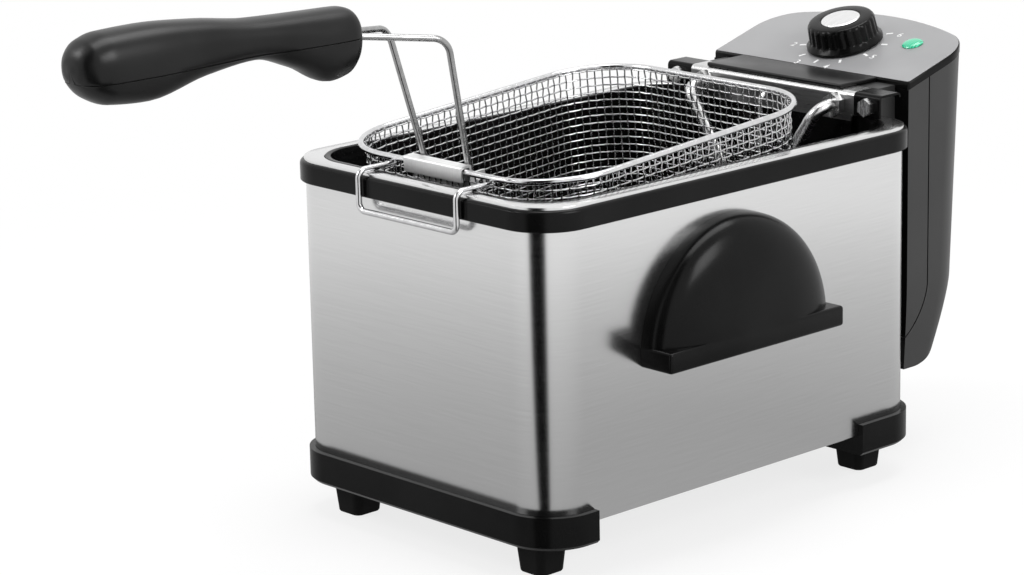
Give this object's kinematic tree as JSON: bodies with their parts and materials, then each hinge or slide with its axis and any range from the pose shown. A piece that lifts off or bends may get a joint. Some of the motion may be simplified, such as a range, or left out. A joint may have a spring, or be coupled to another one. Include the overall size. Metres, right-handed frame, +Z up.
{
  "type": "deep fryer",
  "caption": "Electric deep fryer: steel housing with an oil tank, wire basket with folding handle, and a lift-off rear control box with knob and immersion heating element.",
  "frame": {"origin": "on the floor plane under the middle of the steel housing", "axes": "+X right as seen from the front, +Y to the rear control box, +Z up"},
  "size_m": [0.2188, 0.5255, 0.2738],
  "materials": {
    "brushed_steel": "brushed",
    "black_gloss": "gloss",
    "black_plastic": "satin",
    "grip_black": "satin",
    "panel_grey": "satin",
    "black_enamel": "gloss",
    "foot_rubber": "matte",
    "chrome_wire": "polished",
    "bare_steel": "satin",
    "screw_zinc": "zinc",
    "bright_trim": "satin",
    "green_lens": "translucent",
    "lamp_glass": "clear",
    "white_insulator": "matte",
    "reset_red": "matte"
  },
  "bodies": {
    "housing": {"base_pan": "black_gloss", "base_screws": "screw_zinc", "foot_front_left": "foot_rubber", "foot_front_right": "foot_rubber", "foot_rear_left": "foot_rubber", "foot_rear_right": "foot_rubber", "handle_screws": "screw_zinc", "outer_shell": "brushed_steel", "rear_guide": "black_gloss", "rim": "black_gloss", "rim_trim": "brushed_steel", "side_handle_left": "black_gloss", "side_handle_right": "black_gloss", "tank": "black_enamel"},
    "basket": {"basket_corner_mesh": "chrome_wire", "basket_floor_mesh": "chrome_wire", "basket_front_mesh": "chrome_wire", "basket_left_mesh": "chrome_wire", "basket_rear_mesh": "chrome_wire", "basket_right_mesh": "chrome_wire", "basket_rim": "chrome_wire", "drain_hook": "chrome_wire", "handle_bracket": "chrome_wire"},
    "basket_handle": {"handle_wire": "chrome_wire", "grip_upper": "grip_black", "grip_lower": "grip_black", "grip_screw": "screw_zinc"},
    "knob": {"knob": "black_plastic", "knob_cap": "bright_trim", "spindle": "bare_steel"},
    "reset_button": {"reset_button": "reset_red"},
    "control_unit": {"control_front_shell": "black_gloss", "control_rear_shell": "black_gloss", "control_panel": "panel_grey", "indicator_lens": "green_lens", "indicator_lamp": "lamp_glass", "thermostat": "white_insulator", "element_plate": "bare_steel", "heating_element": "bare_steel", "element_nuts": "bare_steel", "plate_screws": "bare_steel", "thermostat_bulb": "bare_steel", "capillary": "bare_steel", "thermal_cutout": "bare_steel", "terminal_block": "white_insulator", "interlock_switch": "black_plastic", "cord_gland": "black_plastic"}
  },
  "joints": [
    {"name": "basket_lift", "type": "slide", "parent": "housing", "child": "basket", "axis": [0, 0, 1], "range_m": [0, 0.16]},
    {"name": "handle_fold", "type": "hinge", "parent": "basket", "child": "basket_handle", "pos_m": [0, -0.104, 0.1775], "axis": [-1, 0, 0], "range_deg": [0, 140]},
    {"name": "control_unit_lift", "type": "slide", "parent": "housing", "child": "control_unit", "axis": [0, 0, 1], "range_m": [0, 0.035]},
    {"name": "knob_turn", "type": "hinge", "parent": "control_unit", "child": "knob", "pos_m": [0, 0.174, 0.20103], "axis": [0, -0.2756, 0.9613], "range_deg": [-270, 0]},
    {"name": "reset_press", "type": "slide", "parent": "control_unit", "child": "reset_button", "axis": [0, -1, 0], "range_m": [0, 0.002], "stiffness_N_per_m": 500}
  ]
}
